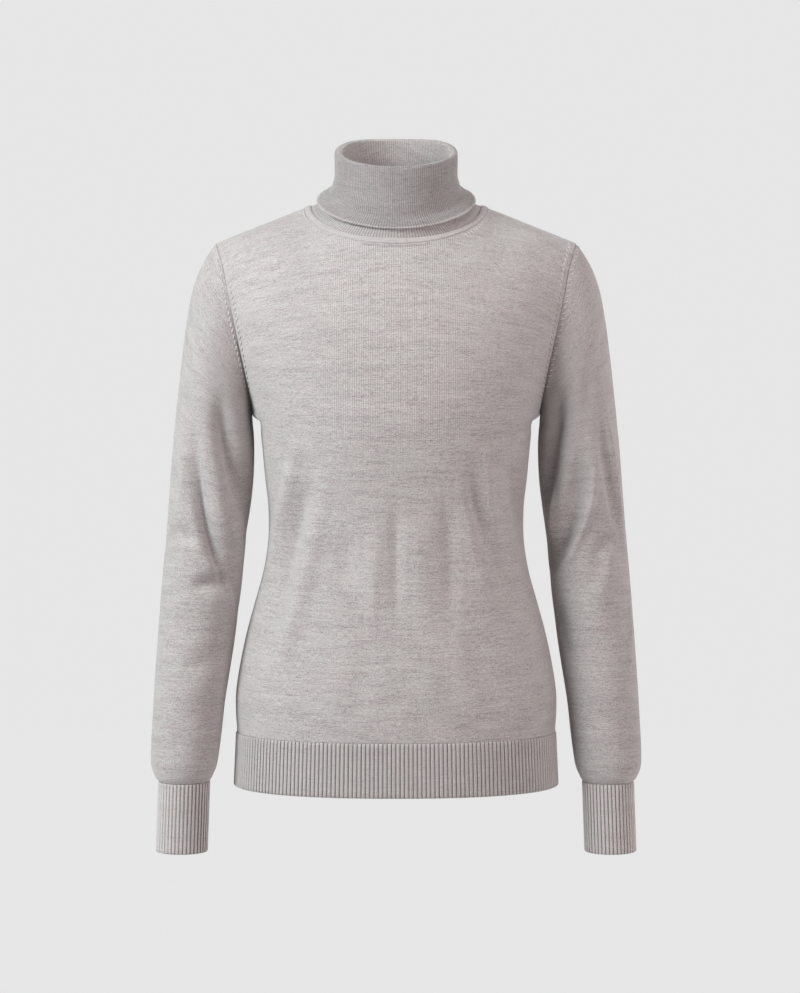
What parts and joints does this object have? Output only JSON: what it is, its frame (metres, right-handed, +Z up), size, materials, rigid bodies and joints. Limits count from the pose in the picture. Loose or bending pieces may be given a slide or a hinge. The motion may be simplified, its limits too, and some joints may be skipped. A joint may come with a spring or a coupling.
{
  "type": "turtleneck sweater",
  "caption": "Fine-knit turtleneck sweater, filled out as worn and hollow: fitted body, long set-in sleeves, folded collar, ribbed hem and cuffs.",
  "frame": {"origin": "on the wearer's middle line, level with the shoulders' top and just inside the back of the neck, where a figure, form or hanger holds the garment", "axes": "+Z up, -Y towards the front of the garment, +X towards the viewer's right as it is seen from the front"},
  "size_m": [0.5044, 0.2321, 0.7323],
  "materials": {
    "fine_knit": "soft matte melange stockinette",
    "sleeve_knit": "soft matte melange stockinette",
    "band_rib": "soft matte rib knit",
    "cuff_rib": "soft matte rib knit",
    "collar_rib": "soft matte fine rib knit",
    "neck_band": "soft matte rolled knit band"
  },
  "bodies": {
    "root": {"body_front": "fine_knit", "body_back": "fine_knit", "hem_front": "band_rib", "hem_back": "band_rib", "sleeve_left": "sleeve_knit", "sleeve_right": "sleeve_knit", "cuff_left": "cuff_rib", "cuff_right": "cuff_rib", "neck_trim": "neck_band", "collar": "collar_rib"}
  },
  "joints": []
}
